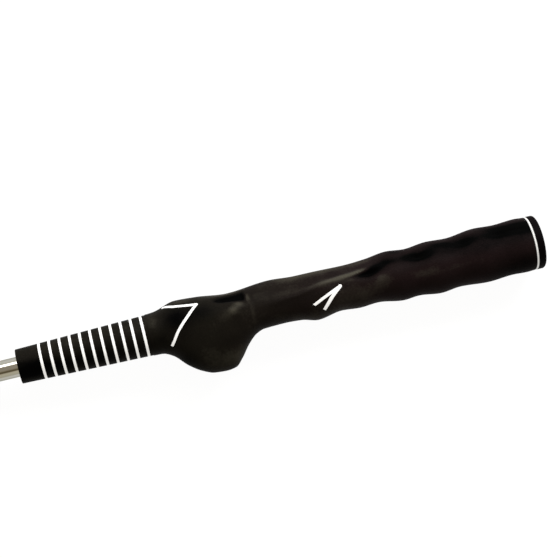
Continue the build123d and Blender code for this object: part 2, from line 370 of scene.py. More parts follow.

# Painted shade where the trench and the groove are deepest, as a gain in painted tone
TRENCH_PAINTED_SHADE = -0.1
GROOVE_PAINTED_SHADE = -1.2

# The painted highlight streak along the crest: its line as (distance, angle) and half angles
STREAK_LINE = [(150, 65), (163, 62.5), (170, 59), (178, 51)]
STREAK_FADE_IN = (147, 164)
STREAK_FADE_OUT = (172, 181)
STREAK_PAINTED_HIGHLIGHT = 0.64
STREAK_CROWN_SIDE = 4.5
STREAK_FLAT_SIDE = 7.5


def painted_shade_and_highlight(distance, angle):
    """Painted tone of the rubber: 0 for painted shade, black and matt, up to 1 for a painted highlight."""
    value = BASE_PAINTED_TONE - HANDLE_DARKENING * smooth_step(*HANDLE_FADE_IN, distance)
    value -= TAPER_DARKENING * (1 - smooth_step(*TAPER_FADE_OUT, distance))
    value += spots_at(SHADE_AND_HIGHLIGHT_SPOTS, distance, angle)
    off = turn_between(angle, along_line(STREAK_LINE, distance))
    half_width = STREAK_CROWN_SIDE if off > 0 else STREAK_FLAT_SIDE
    streak = faded_span(STREAK_FADE_IN, STREAK_FADE_OUT, distance) * bell(off, half_width)
    value += STREAK_PAINTED_HIGHLIGHT * streak
    value += TRENCH_PAINTED_SHADE * trench(distance, angle) / TRENCH_DEPTH
    value += GROOVE_PAINTED_SHADE * groove(distance, angle)
    return min(1.0, max(0.0, value))


def grip_point(distance, angle, lift=0.0):
    """Point on the rubber, or lifted off it, in metres."""
    radius = grip_radius(distance, angle) + lift
    turn = math.radians(angle)
    return Vector((distance - GRIP_LENGTH, radius * math.cos(turn), radius * math.sin(turn))) * MM


# ---------------------------------------------------------------- mesh helpers

SHARP_ANGLE = 35
SEGMENTS = 128
FINE_SEGMENTS = 160
QUARTER_STEPS = 8
MERGE_DISTANCE = 0.0001

# Bends at an outline's corners: their steps, and the most of a side that one takes
CORNER_STEPS = 4
CORNER_SHARE = 0.45


def new_object(name, points, faces, material, node):
    """Mesh object that stands for a CAD node, rides on the stick and takes a finish."""
    mesh = bpy.data.meshes.new(name)
    mesh.from_pydata(points, [], faces)
    mesh.validate()
    mesh.shade_smooth()
    piece = bpy.data.objects.new(name, mesh)
    bpy.context.scene.collection.objects.link(piece)
    mesh.materials.append(material)
    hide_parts(node)
    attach(piece, "root")
    return piece


def grid_faces(rows, columns, closed_rows):
    """Quads between rows of points; each row is a closed loop, and the rows may close too."""
    faces = []
    for row in range(rows if closed_rows else rows - 1):
        next_row = (row + 1) % rows
        for column in range(columns):
            next_column = (column + 1) % columns
            faces.append((
                row * columns + column,
                row * columns + next_column,
                next_row * columns + next_column,
                next_row * columns + column,
            ))
    return faces


def keep_edges_crisp(piece, angle=SHARP_ANGLE):
    """Edges that turn by more than the angle are shaded sharp."""
    piece.data.set_sharp_from_angle(angle=math.radians(angle))


def rounded_corners(corners, rounding):
    """Closed outline with every corner replaced by a short bend, shorter still on short sides."""
    outline = []
    count = len(corners)
    for index, corner in enumerate(corners):
        here = Vector(corner)
        before = Vector(corners[index - 1]) - here
        after = Vector(corners[(index + 1) % count]) - here
        size = min(rounding, before.length * CORNER_SHARE, after.length * CORNER_SHARE)
        first = here + before.normalized() * size
        last = here + after.normalized() * size
        for step in range(CORNER_STEPS + 1):
            t = step / CORNER_STEPS
            bend = first * (1 - t) ** 2 + here * 2 * t * (1 - t) + last * t * t
            outline.append((bend.x, bend.y))
    return outline


def quarter_round(face, outward, radius, rounding):
    """Corners of a rounded rim, from an end face at some X to the outside; outward is 1 or -1 along X."""
    corners = []
    for step in range(QUARTER_STEPS + 1):
        turn = math.pi / 2 * step / QUARTER_STEPS
        x = face - outward * rounding * (1 - math.cos(turn))
        corners.append((x, radius - rounding * (1 - math.sin(turn))))
    return corners


def circle(x, radius, segments):
    """Points round the shaft's axis, in metres."""
    turns = (2 * math.pi * step / segments for step in range(segments))
    return [Vector((x, radius * math.cos(turn), radius * math.sin(turn))) * MM for turn in turns]


def turned(name, outline, material, node, segments=SEGMENTS):
    """Solid of revolution about the shaft from a closed outline of (X, radius)."""
    points = [point for x, radius in outline for point in circle(x, radius, segments)]
    piece = new_object(name, points, grid_faces(len(outline), segments, True), material, node)
    solid = bmesh.new()
    solid.from_mesh(piece.data)
    bmesh.ops.remove_doubles(solid, verts=solid.verts[:], dist=MERGE_DISTANCE * MM)
    bmesh.ops.delete(solid, geom=[edge for edge in solid.edges if not edge.link_faces], context="EDGES")
    solid.to_mesh(piece.data)
    solid.free()
    keep_edges_crisp(piece)


# ---------------------------------------------------------------- materials

# Middle of a noise's values, and the limits that most of them stay between
NOISE_MIDDLE = 0.5
NOISE_LOW = 0.35
NOISE_HIGH = 0.65


class Nodes:
    """Small helper that builds a material's node tree."""

    def __init__(self, name):
        self.material = bpy.data.materials.new(name)
        self.material.use_nodes = True
        self.tree = self.material.node_tree
        self.shader = self.tree.nodes["Principled BSDF"]
        self.place = self.tree.nodes.new("ShaderNodeTexCoord").outputs["Object"]

    def set(self, **values):
        """Sets sockets of the shader, such as Base_Color or Roughness."""
        for key, value in values.items():
            self.shader.inputs[key.replace("_", " ")].default_value = value

    def link(self, output, target):
        self.tree.links.new(output, target)

    def noise(self, scale, detail=3.0, roughness=0.5, stretch=(1, 1, 1)):
        """Noise at so many grains per metre, stretched by factors along X, Y and Z."""
        mapping = self.tree.nodes.new("ShaderNodeMapping")
        mapping.inputs["Scale"].default_value = stretch
        self.link(self.place, mapping.inputs["Vector"])
        noise = self.tree.nodes.new("ShaderNodeTexNoise")
        noise.inputs["Scale"].default_value = scale
        noise.inputs["Detail"].default_value = detail
        noise.inputs["Roughness"].default_value = roughness
        self.link(mapping.outputs["Vector"], noise.inputs["Vector"])
        return noise.outputs["Fac"]

    def attribute(self, name):
        """Values stored on the mesh's points."""
        node = self.tree.nodes.new("ShaderNodeAttribute")
        node.attribute_name = name
        return node.outputs["Fac"]

    def math(self, operation, first, second):
        """Result of a sum on an output and another output, or a number."""
        node = self.tree.nodes.new("ShaderNodeMath")
        node.operation = operation
        self.link(first, node.inputs[0])
        if isinstance(second, float):
            node.inputs[1].default_value = second
        else:
            self.link(second, node.inputs[1])
        return node.outputs[0]

    def along_grip(self, start, end):
        """0 to 1 along the grip between two distances."""
        split = self.tree.nodes.new("ShaderNodeSeparateXYZ")
        self.link(self.place, split.inputs[0])
        node = self.tree.nodes.new("ShaderNodeMapRange")
        node.inputs["From Min"].default_value = (start - GRIP_LENGTH) * MM
        node.inputs["From Max"].default_value = (end - GRIP_LENGTH) * MM
        self.link(split.outputs["X"], node.inputs["Value"])
        return node.outputs["Result"]

    def colours(self, source, stops):
        """Colour from a value, with stops given as position: colour."""
        node = self.tree.nodes.new("ShaderNodeValToRGB")
        elements = node.color_ramp.elements
        for position in list(stops)[1:-1]:
            elements.new(position)
        for element, (position, colour) in zip(elements, stops.items()):
            element.position = position
            element.color = (*colour, 1)
        self.link(source, node.inputs["Fac"])
        return node.outputs["Color"]

    def mix(self, share, first, second):
        """Blend of two colours."""
        node = self.tree.nodes.new("ShaderNodeMixRGB")
        self.link(share, node.inputs["Fac"])
        self.link(first, node.inputs["Color1"])
        self.link(second, node.inputs["Color2"])
        return node.outputs["Color"]

    def ramp(self, source, low, high, socket, start=NOISE_LOW, end=NOISE_HIGH):
        """Maps a noise to a range of values, or of colours, on a socket of the shader."""
        if isinstance(low, tuple):
            self.link(self.colours(source, {start: low, end: high}), self.shader.inputs[socket])
            return
        node = self.tree.nodes.new("ShaderNodeMapRange")
        node.inputs["From Min"].default_value = start
        node.inputs["From Max"].default_value = end
        node.inputs["To Min"].default_value = low
        node.inputs["To Max"].default_value = high
        self.link(source, node.inputs["Value"])
        self.link(node.outputs["Result"], self.shader.inputs[socket])

    def bump(self, *layers):
        """Surface relief from (noise, depth in millimetres) layers, laid one over the other."""
        normal = None
        for source, depth in layers:
            node = self.tree.nodes.new("ShaderNodeBump")
            node.inputs["Distance"].default_value = depth * MM
            self.link(source, node.inputs["Height"])
            if normal is not None:
                self.link(normal, node.inputs["Normal"])
            normal = node.outputs["Normal"]
        self.link(normal, self.shader.inputs["Normal"])


def rubber(name, dark, light, roughness, specular):
    """Satin moulded rubber: fine grain, faint blotches in colour and in gloss."""
    nodes = Nodes(name)
    blotches = nodes.noise(scale=60, detail=4)
    gloss = nodes.noise(scale=220, detail=5)
    grain = nodes.noise(scale=2600, detail=2)
    nodes.ramp(blotches, dark, light, "Base Color")
    nodes.ramp(gloss, roughness - 0.05, roughness + 0.06, "Roughness")
    nodes.set(Specular_IOR_Level=specular)
    nodes.bump((blotches, 0.08), (grain, 0.02))
    return nodes.material


# Tones of the grip rubber: where its colours sit from painted shade to painted highlight, how much
# the blotches and specks vary them, the roughness at both ends, and the distances between which its warmth
SHADE_TONE = 0.05
PLAIN_TONE = 0.5
HIGHLIGHT_TONE = 1.0
BLOTCH_SHARE = 0.3
SPECK_SHARE = 0.17
DULL_ROUGHNESS = 0.72
HIGHLIGHT_ROUGHNESS = 0.3
WARMTH_START = 97.0
WARMTH_END = 197.0


def rubber_with_painted_light(name, shade_colour, mouth_side, butt_side, highlight_colour, specular):
    """Moulded rubber from black painted shade to grey painted highlight, by the tone stored on its points.
    """
    nodes = Nodes(name)
    blotches = nodes.noise(scale=110, detail=6, roughness=0.62)
    grain = nodes.noise(scale=2600, detail=2)
    specks = nodes.noise(scale=900, detail=3)
    tone = nodes.attribute("painted_shade_and_highlight")
    for pattern, share in ((blotches, BLOTCH_SHARE), (specks, SPECK_SHARE)):
        change = nodes.math("MULTIPLY", nodes.math("SUBTRACT", pattern, NOISE_MIDDLE), share)
        tone = nodes.math("ADD", tone, change)
    along = nodes.along_grip(WARMTH_START, WARMTH_END)
    mouth_colours, butt_colours = (
        nodes.colours(tone, {SHADE_TONE: shade_colour, PLAIN_TONE: plain, HIGHLIGHT_TONE: highlight_colour})
        for plain in (mouth_side, butt_side)
    )
    nodes.link(nodes.mix(along, mouth_colours, butt_colours), nodes.shader.inputs["Base Color"])
    nodes.ramp(tone, DULL_ROUGHNESS, HIGHLIGHT_ROUGHNESS, "Roughness", start=0.0, end=1.0)
    nodes.set(Specular_IOR_Level=specular)
    nodes.bump((blotches, 0.08), (grain, 0.06))
    return nodes.material


def white_inlay(name, dark, light, glow):
    """Matt white rubber with a faint smear of grime, and a glow that lifts it to the photo's white."""
    nodes = Nodes(name)
    nodes.ramp(nodes.noise(scale=300, detail=4), dark, light, "Base Color")
    nodes.ramp(nodes.noise(scale=900), 0.5, 0.62, "Roughness")
    nodes.bump((nodes.noise(scale=1800, detail=2), 0.015))
    nodes.set(Specular_IOR_Level=0.3, Emission_Color=(1, 1, 1, 1), Emission_Strength=glow)
    return nodes.material


def chrome(name, dark, light, roughness):
    """Polished plating with faint lengthwise polishing marks."""
    nodes = Nodes(name)
    marks = nodes.noise(scale=900, detail=4, stretch=(0.02, 1, 1))
    nodes.ramp(nodes.noise(scale=45, detail=3), dark, light, "Base Color")
    nodes.ramp(marks, roughness * 0.8, roughness * 1.3, "Roughness")
    nodes.bump((marks, 0.004))
    nodes.set(Metallic=1.0, Specular_Tint=(0.55, 0.55, 0.5, 1))
    return nodes.material


def plastic(name, dark, light, roughness):
    """Moulded plastic with a faint flow pattern."""
    nodes = Nodes(name)
    nodes.ramp(nodes.noise(scale=80, detail=4), dark, light, "Base Color")
    nodes.ramp(nodes.noise(scale=500), roughness * 0.85, roughness * 1.2, "Roughness")
    nodes.bump((nodes.noise(scale=1500, detail=2), 0.01))
    return nodes.material


def steel(name, dark, light, roughness):
    """Turned and plated steel with marks round the axis."""
    nodes = Nodes(name)
    marks = nodes.noise(scale=1400, detail=4, stretch=(1, 0.08, 0.08))
    nodes.ramp(marks, dark, light, "Base Color")
    nodes.ramp(marks, roughness * 0.8, roughness * 1.25, "Roughness")
    nodes.bump((marks, 0.01))
    nodes.set(Metallic=1.0)
    return nodes.material


def tape_paper(name, dark, light):
    """Creped paper tape, wound round the sleeve."""
    nodes = Nodes(name)
    crepe = nodes.noise(scale=1200, detail=3, stretch=(1, 0.2, 0.2))
    nodes.ramp(crepe, dark, light, "Base Color")
    nodes.ramp(crepe, 0.7, 0.85, "Roughness")
    nodes.bump((crepe, 0.05))
    return nodes.material


# These are matched to the photo under this script's light: the black rubber is darker and less glossy
# than real rubber, and the white marks give off light of their own
# The grip's colours run from black painted shade in its hollows to grey painted highlight on its crests
GRIP_RUBBER = rubber_with_painted_light(
    "grip_rubber",
    shade_colour=(0.0001, 0.0001, 0.0001),
    mouth_side=(0.0056, 0.0048, 0.0035),
    butt_side=(0.0068, 0.0038, 0.0039),
    highlight_colour=(0.036, 0.033, 0.0252),
    specular=0.016,
)
CAP_RUBBER = rubber(
    "cap_rubber", (0.001, 0.0006, 0.0008), (0.0018, 0.001, 0.0013), roughness=0.56, specular=0.014
)
BUMPER_RUBBER = rubber(
    "bumper_rubber", (0.006, 0.006, 0.006), (0.012, 0.012, 0.012), roughness=0.6, specular=0.3
)
WHITE = white_inlay("mark_white", (0.42, 0.42, 0.41), (0.46, 0.46, 0.46), glow=0.42)
# A dimmer white with a weaker glow of its own, for the butt ring
DIM_WHITE = white_inlay("dim_white", (0.31, 0.31, 0.3), (0.35, 0.35, 0.34), glow=0.31)
SHAFT_CHROME = chrome("shaft_chrome", (0.43, 0.42, 0.375), (0.46, 0.45, 0.41), roughness=0.06)
HEAD_CHROME = chrome("head_chrome", (0.46, 0.45, 0.42), (0.5, 0.49, 0.46), roughness=0.2)
FERRULE_PLASTIC = plastic("ferrule_plastic", (0.006, 0.006, 0.006), (0.012, 0.012, 0.012), roughness=0.22)
SLEEVE_PLASTIC = plastic("sleeve_plastic", (0.4, 0.4, 0.38), (0.5, 0.5, 0.47), roughness=0.5)
TAPE = tape_paper("tape", (0.55, 0.47, 0.3), (0.7, 0.62, 0.42))
FASTENER_STEEL = steel("fastener_steel", (0.5, 0.5, 0.48), (0.62, 0.61, 0.58), roughness=0.35)
SCREW_STEEL = steel("screw_steel", (0.04, 0.04, 0.045), (0.08, 0.08, 0.085), roughness=0.4)


# ---------------------------------------------------------------- grip

ANGLE_STEPS = 160
ROW_PITCH = 0.8
MOUTH_STEPS = 5
STEP_ROWS = 4
MOUTH_ROUNDING = 0.3
LIP_LENGTH = 5.0
BORE_MOUTH_RADIUS = 5.85
BORE_BUTT_RADIUS = 7.55
BORE_END = 257.0
SPIGOT_RADIUS = 7.6
END_ROUNDING = 0.25

# White rings: depth of their channels, chamfer of the channels' edges, and how far and how round the
# rings lie in them
CHANNEL_DEPTH = 0.55
CHANNEL_EDGE = 0.08
RING_SINK = 0.02
RING_ROUNDING = 0.08


def ring_span(node):
    """(start, end) distances of a white ring."""
    low, high, _ = reach(node)
    return low + GRIP_LENGTH, high + GRIP_LENGTH


def grip_rows():
    """(distance, drop below the surface) of each row of points along the outside."""
    rows = []
    for step in range(MOUTH_STEPS, -1, -1):
        turn = math.pi / 2 * step / MOUTH_STEPS
        rows.append((MOUTH_ROUNDING * (1 - math.sin(turn)), MOUTH_ROUNDING * (1 - math.cos(turn))))
    for node in RING_NODES:
        start, end = ring_span(node)
        rows.append((start - CHANNEL_EDGE, 0))
        rows.append((start, CHANNEL_EDGE))
        rows.append((start, CHANNEL_DEPTH))
        rows.append((end, CHANNEL_DEPTH))
        rows.append((end, CHANNEL_EDGE))
        rows.append((end + CHANNEL_EDGE, 0))
    for step in range(STEP_ROWS + 1):
        rows.append((STEP_START + (STEP_END - STEP_START) * step / STEP_ROWS, 0))
    moulded_length = MOULDED_END - END_ROUNDING - STEP_END
    count = round(moulded_length / ROW_PITCH)
    for step in range(1, count + 1):
        rows.append((STEP_END + moulded_length * step / count, 0))
    rows.append((MOULDED_END, END_ROUNDING))
    return rows


def make_grip():
    """Moulded rubber grip: outside, ends and bore in one closed mesh."""
    points = []
    for distance, drop in grip_rows():
        for step in range(ANGLE_STEPS):
            points.append(grip_point(distance, 360 * step / ANGLE_STEPS, -drop))
    bore = [
        (MOULDED_END, SPIGOT_RADIUS),
        (BORE_END, SPIGOT_RADIUS),
        (BORE_END, BORE_BUTT_RADIUS),
        (LIP_LENGTH, BORE_MOUTH_RADIUS),
        (LIP_LENGTH, SHAFT_RADIUS),
        (0.0, SHAFT_RADIUS),
    ]
    for distance, radius in bore:
        points += circle(distance - GRIP_LENGTH, radius, ANGLE_STEPS)
    faces = grid_faces(len(points) // ANGLE_STEPS, ANGLE_STEPS, True)
    grip = new_object("moulded_grip", points, faces, GRIP_RUBBER, "grip_sleeve")
    keep_edges_crisp(grip)
    # Painted shade and painted highlight, stored on the points for the rubber's colour
    painted_tone_layer = grip.data.attributes.new("painted_shade_and_highlight", "FLOAT", "POINT")
    for vertex, cell in zip(grip.data.vertices, painted_tone_layer.data):
        distance, angle = on_surface(vertex.co)
        cell.value = painted_shade_and_highlight(distance, angle)


def make_ring_mark(node):
    """White ring with softened edges, a hair below the rubber's surface."""
    start, end = ring_span(node)
    corners = [
        (start - GRIP_LENGTH, grip_radius(start, 0) - CHANNEL_DEPTH),
        (end - GRIP_LENGTH, grip_radius(end, 0) - CHANNEL_DEPTH),
        (end - GRIP_LENGTH, grip_radius(end, 0) - RING_SINK),
        (start - GRIP_LENGTH, grip_radius(start, 0) - RING_SINK),
    ]
    turned(node + "_inlay", rounded_corners(corners, RING_ROUNDING), WHITE, node)


make_grip()
for ring_node in RING_NODES:
    make_ring_mark(ring_node)

# ---------------------------------------------------------------- white V marks

# Strips: how far they stand proud and reach down, and half of their top as (share of half width,
# share of the lift)
MARK_LIFT = 0.1
MARK_SINK = 0.35
MARK_TOP = [(0.45, 1.0), (0.88, 1.0), (0.96, 0.85), (1.0, 0.5)]
MARK_SHARP_ANGLE = 50
PATH_SPACING = 0.55

# Steps to the sides that give the surface's direction, and halvings that find an angle
PROBE_LENGTH = 0.2
PROBE_ANGLE = 0.5
HALVINGS = 40

# Round tips: the last of the steps stops short of a quarter turn, so the tip keeps some width
TIP_STEPS = 6
TIP_DIVISIONS = 6.3

# The V marks: the point where each one's arms meet, as (distance, Y), and each arm's width and further
# points, also by Y, except that the large V's upper arm has them as (distance, angle)
LARGE_V_MEETING = (91.5, 9.3)
LARGE_V_UPPER_ARM = (1.5, [(87.7, 41), (82.0, 36), (78.9, 30.5), (74.8, 15)])
LARGE_V_LOWER_ARM = (1.35, [(86.7, 5.3), (81.6, 0.5), (78.8, -2.8), (75.2, -7.8)])
SMALL_V_MEETING = (162.4, 1.5)
SMALL_V_UPPER_ARM = (1.45, [(152.4, -2.6), (146.2, -5.3)])
SMALL_V_LOWER_ARM = (1.75, [(157.4, -2.7), (151.7, -8.7)])
SMALL_V_END_CUT = ((147.5, -4.5), (152.4, -8.1))


def surface_angle(distance, y):
    """Angle at which the rubber's +Z side has that Y, in degrees."""
    low, high = 0.0, 180.0
    for _ in range(HALVINGS):
        middle = (low + high) / 2
        if grip_radius(distance, middle) * math.cos(math.radians(middle)) > y:
            low = middle
        else:
            high = middle
    return (low + high) / 2


def smooth_path(corners):
    """Evenly spaced points on a smooth curve through the corners, given as (distance, angle)."""
    ends = [corners[0]] + corners + [corners[-1]]
    path = []
    for before, start, end, after in zip(ends, ends[1:], ends[2:], ends[3:]):
        before, start, end, after = (Vector(corner) for corner in (before, start, end, after))
        count = max(2, round((grip_point(*start) - grip_point(*end)).length / MM / PATH_SPACING))
        for step in range(count):
            t = step / count
            bend = start * 2 + (end - before) * t
            bend += (before * 2 - start * 5 + end * 4 - after) * t * t
            bend += (start * 3 - before - end * 3 + after) * t ** 3
            path.append(bend / 2)
    return path + [Vector(corners[-1])]


def surface_frame(distance, angle):
    """(point, unit normal) of the rubber's surface."""
    here = grip_point(distance, angle)
    along = grip_point(distance + PROBE_LENGTH, angle) - grip_point(distance - PROBE_LENGTH, angle)
    around = grip_point(distance, angle + PROBE_ANGLE) - grip_point(distance, angle - PROBE_ANGLE)
    normal = around.cross(along).normalized()
    if normal.y * here.y + normal.z * here.z < 0:
        normal.negate()
    return here, normal


def strip_profile():
    """Closed cross-section of a strip, as (share of half width, lift)."""
    right = [(across, lift * MARK_LIFT) for across, lift in MARK_TOP]
    left = [(-across, lift) for across, lift in reversed(right)]
    return [(-1.0, -MARK_SINK), *left, (0.0, MARK_LIFT), *right, (1.0, -MARK_SINK), (0.0, -MARK_SINK)]


def round_tip(first, second, half):
    """Stations that round off a strip before its first one, each ((point, normal), share of width)."""
    away = (first[0] - second[0]).normalized()
    tip = []
    for step in range(TIP_STEPS, 0, -1):
        turn = math.pi / 2 * step / TIP_DIVISIONS
        spot = first[0] + away * (half * MM * math.sin(turn))
        tip.append((surface_frame(*on_surface(spot)), math.cos(turn)))
    return tip


def make_arm(path, width):
    """Points and faces of a raised strip along a path, with softened edges and a round first end."""
    half = width / 2
    profile = strip_profile()
    centres = [surface_frame(*place) for place in path]
    stations = round_tip(centres[0], centres[1], half) + [(centre, 1.0) for centre in centres]
    points = []
    for index, ((point, normal), share) in enumerate(stations):
        ahead = stations[min(index + 1, len(stations) - 1)][0][0]
        behind = stations[max(index - 1, 0)][0][0]
        side = normal.cross((ahead - behind).normalized()).normalized()
        for across, lift in profile:
            spot = point + side * (across * half * share * MM)
            base, up = surface_frame(*on_surface(spot))
            points.append(base + up * (lift * MM))
    columns = len(profile)
    faces = grid_faces(len(stations), columns, False)
    faces.append(tuple(range(columns)))
    faces.append(tuple(reversed(range(len(points) - columns, len(points)))))
    return points, faces


def joined(first, second):
    """One closed mesh from two overlapping ones, each given as (points, faces)."""
    helpers = []
    for points, faces in (first, second):
        mesh = bpy.data.meshes.new("arm")
        mesh.from_pydata(points, [], faces)
        helpers.append(bpy.data.objects.new("arm", mesh))
        bpy.context.scene.collection.objects.link(helpers[-1])
    union = helpers[0].modifiers.new("join", "BOOLEAN")
    union.operation = "UNION"
    union.solver = "EXACT"
    union.object = helpers[1]
    solved = helpers[0].evaluated_get(bpy.context.evaluated_depsgraph_get())
    mesh = bpy.data.meshes.new_from_object(solved)
    for helper in helpers:
        bpy.data.meshes.remove(helper.data)
    return mesh


def cut_square(solid, start, end):
    """Cuts a bmesh along the upright plane through two (distance, Y) points and closes it."""
    origin, far = (Vector((distance - GRIP_LENGTH, y, 0)) * MM for distance, y in (start, end))
    outward = (far - origin).cross(Vector((0, 0, 1))).normalized()
    everything = solid.verts[:] + solid.edges[:] + solid.faces[:]
    cut = bmesh.ops.bisect_plane(
        solid, geom=everything, plane_co=origin, plane_no=outward, clear_outer=True
    )
    rim = [edge for edge in cut["geom_cut"] if isinstance(edge, bmesh.types.BMEdge)]
    bmesh.ops.edgeloop_fill(solid, edges=rim)


def make_v_mark(name, arms, node, cut=None):
    """V mark of two strips that meet at their first points; each arm is (width, places)."""
    mesh = joined(*(make_arm(smooth_path(places), width) for width, places in arms))
    solid = bmesh.new()
    solid.from_mesh(mesh)
    if cut:
        cut_square(solid, *cut)
    bmesh.ops.triangulate(solid, faces=[face for face in solid.faces if len(face.verts) > 4])
    bmesh.ops.recalc_face_normals(solid, faces=solid.faces[:])
    mesh = bpy.data.meshes.new(name)
    solid.to_mesh(mesh)
    solid.free()
    points = [vertex.co.copy() for vertex in mesh.vertices]
    faces = [tuple(face.vertices) for face in mesh.polygons]
    keep_edges_crisp(new_object(name, points, faces, WHITE, node), MARK_SHARP_ANGLE)


def at(distance, y):
    """(distance, angle) from a distance and the Y of the rubber's +Z side."""
    return distance, surface_angle(distance, y)


def arm_by_y(meeting, arm):
    """(width, places) of an arm whose points are given as (distance, Y)."""
    width, corners = arm
    return width, [at(*corner) for corner in (meeting, *corners)]


make_v_mark(
    "lower_hand_v",
    [
        (LARGE_V_UPPER_ARM[0], [at(*LARGE_V_MEETING), *LARGE_V_UPPER_ARM[1]]),
        arm_by_y(LARGE_V_MEETING, LARGE_V_LOWER_ARM),
    ],
    "lower_hand_mark",
)
make_v_mark(
    "upper_hand_v",
    [arm_by_y(SMALL_V_MEETING, SMALL_V_UPPER_ARM), arm_by_y(SMALL_V_MEETING, SMALL_V_LOWER_ARM)],
    "upper_hand_mark",
    cut=SMALL_V_END_CUT,
)

# ---------------------------------------------------------------- butt, shaft and head

# Butt: the white ring, and the cap, whose dish has its edge as (radius, share of the depth)
BUTT_RING_DEPTH = 0.8
BUTT_RING_ROUNDING = 0.12
VENT_RADIUS = 1.5
VENT_CHAMFER = 0.5
CAP_SEAT_RADIUS = 12.5
CAP_ROUNDING = 1.5
DISH_DEPTH = 0.35
DISH_EDGE = [(9.6, 1.0), (9.9, 0.8), (10.2, 0.2), (10.6, 0.0)]

# Shaft
SHAFT_WALL = 1.5
SHAFT_ROUNDING = 0.3

# Head: ferrule, weight and end bumper
FERRULE_SMALL_RADIUS = 5.9
FERRULE_ROUNDING = 0.5
COUNTERBORE_RADIUS = 7.5
SCREW_HOLE_RADIUS = 3.3
HEAD_WEB = 8.0
HEAD_CHAMFER = 1.5
HEAD_ROUNDING = 0.25
BUMPER_ROUNDING = 3.0
BUMPER_DISH_DEPTH = 0.4
BUMPER_DISH_RADIUS = 8.0
BUMPER_DISH_RIM = 8.6


def make_butt():
    """White ring, and the cap with its vent hole and shallow dish."""
    low, high, radius = reach("butt_ring_mark")
    floor = radius - BUTT_RING_DEPTH
    ring = rounded_corners([(low, floor), (high, floor), (high, radius), (low, radius)], BUTT_RING_ROUNDING)
    turned("butt_ring", ring, DIM_WHITE, "butt_ring_mark")
    start, end, cap_radius = reach("butt_cap")
    dish_floor = end - DISH_DEPTH
    corners = [
        (start, VENT_RADIUS),
        (dish_floor - VENT_CHAMFER, VENT_RADIUS),
        (dish_floor, VENT_RADIUS + VENT_CHAMFER),
    ]
    corners += [(end - DISH_DEPTH * share, edge) for edge, share in DISH_EDGE]
    corners += quarter_round(end, 1, cap_radius, CAP_ROUNDING)
    corners += [(high, cap_radius), (high, CAP_SEAT_RADIUS), (low, CAP_SEAT_RADIUS)]
    corners += [(low, SPIGOT_RADIUS), (start, SPIGOT_RADIUS)]
    turned("cap", corners, CAP_RUBBER, "butt_cap", FINE_SEGMENTS)


def make_shaft():
    """Straight chromed tube."""
    low, high, radius = reach("shaft")
    bore = radius - SHAFT_WALL
    tube = rounded_corners([(low, bore), (high, bore), (high, radius), (low, radius)], SHAFT_ROUNDING)
    turned("chrome_shaft", tube, SHAFT_CHROME, "shaft", FINE_SEGMENTS)


def make_head():
    """Ferrule, weight and end bumper."""
    low, high, radius = reach("ferrule")
    corners = [(low, SHAFT_RADIUS), (low, radius), (high, FERRULE_SMALL_RADIUS), (high, SHAFT_RADIUS)]
    collar = rounded_corners(corners, FERRULE_ROUNDING)
    turned("collar", collar, FERRULE_PLASTIC, "ferrule")
    low, high, radius = reach("head_weight")
    socket_floor = reach("shaft")[0]
    counterbore_floor = socket_floor - HEAD_WEB
    corners = [
        (low, COUNTERBORE_RADIUS), (counterbore_floor, COUNTERBORE_RADIUS),
        (counterbore_floor, SCREW_HOLE_RADIUS), (socket_floor, SCREW_HOLE_RADIUS),
        (socket_floor, SHAFT_RADIUS), (high, SHAFT_RADIUS),
        (high, radius - HEAD_CHAMFER), (high - HEAD_CHAMFER, radius),
        (low + HEAD_CHAMFER, radius), (low, radius - HEAD_CHAMFER),
    ]
    weight = rounded_corners(corners, HEAD_ROUNDING)
    turned("weight", weight, HEAD_CHROME, "head_weight", FINE_SEGMENTS)
    tip, plug_end, radius = reach("end_bumper")
    dish_floor = tip + BUMPER_DISH_DEPTH
    corners = [(dish_floor, 0.0), (dish_floor, BUMPER_DISH_RADIUS), (tip, BUMPER_DISH_RIM)]
    corners += quarter_round(tip, -1, radius, BUMPER_ROUNDING)
    corners += [(low, radius), (low, COUNTERBORE_RADIUS), (plug_end, COUNTERBORE_RADIUS), (plug_end, 0.0)]
    turned("bumper", corners, BUMPER_RUBBER, "end_bumper", FINE_SEGMENTS)


make_butt()
make_shaft()
make_head()

# ---------------------------------------------------------------- CAD nodes that stay

for node_name, finish in {
    "build_up_sleeve": SLEEVE_PLASTIC,
    "grip_tape": TAPE,
    "tip_plug": FASTENER_STEEL,
    "flat_washer": FASTENER_STEEL,
    "spring_washer": FASTENER_STEEL,
    "retaining_screw": SCREW_STEEL,
}.items():
    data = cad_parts[node_name].data
    data.materials.clear()
    data.materials.append(finish)

# ---------------------------------------------------------------- floor, light and camera

# In metres: the floor's half size, and the point that the lights face
FLOOR_HALF_SIZE = 6.0
LIGHTS_AIM_AT = Vector((-0.13, 0, 0))

# Camera, estimated from how the photo's rings bulge: its height over the shaft's axis, the distance of
# the point below it, and its turns
CAMERA_HEIGHT = 843.3
CAMERA_FOOT = 61.0
CAMERA_YAW = 5.0
CAMERA_TILT = 0.816
CAMERA_ROLL = 13.55
FIELD_OF_VIEW = 18.64
SENSOR_WIDTH = 36.0

# Tones of the studio's walls and ceiling by the angle round the shaft, from the +Y floor up and over, set
# so that the chromed shaft mirrors the bands that it has in the photo
HALF_TURN = 180
WALL_TONES = [
    (0, (1.0, 0.98, 0.93)),
    (26, (1.0, 0.98, 0.93)),
    (60, (0.52, 0.46, 0.38)),
    (92, (0.52, 0.46, 0.38)),
    (104, (0.40, 0.34, 0.25)),
    (111, (0.19, 0.155, 0.09)),
    (124, (0.19, 0.155, 0.09)),
    (134, (0.82, 0.75, 0.6)),
    (147, (0.84, 0.8, 0.65)),
    (163, (0.76, 0.72, 0.6)),
    (HALF_TURN, (0.78, 0.75, 0.66)),
]


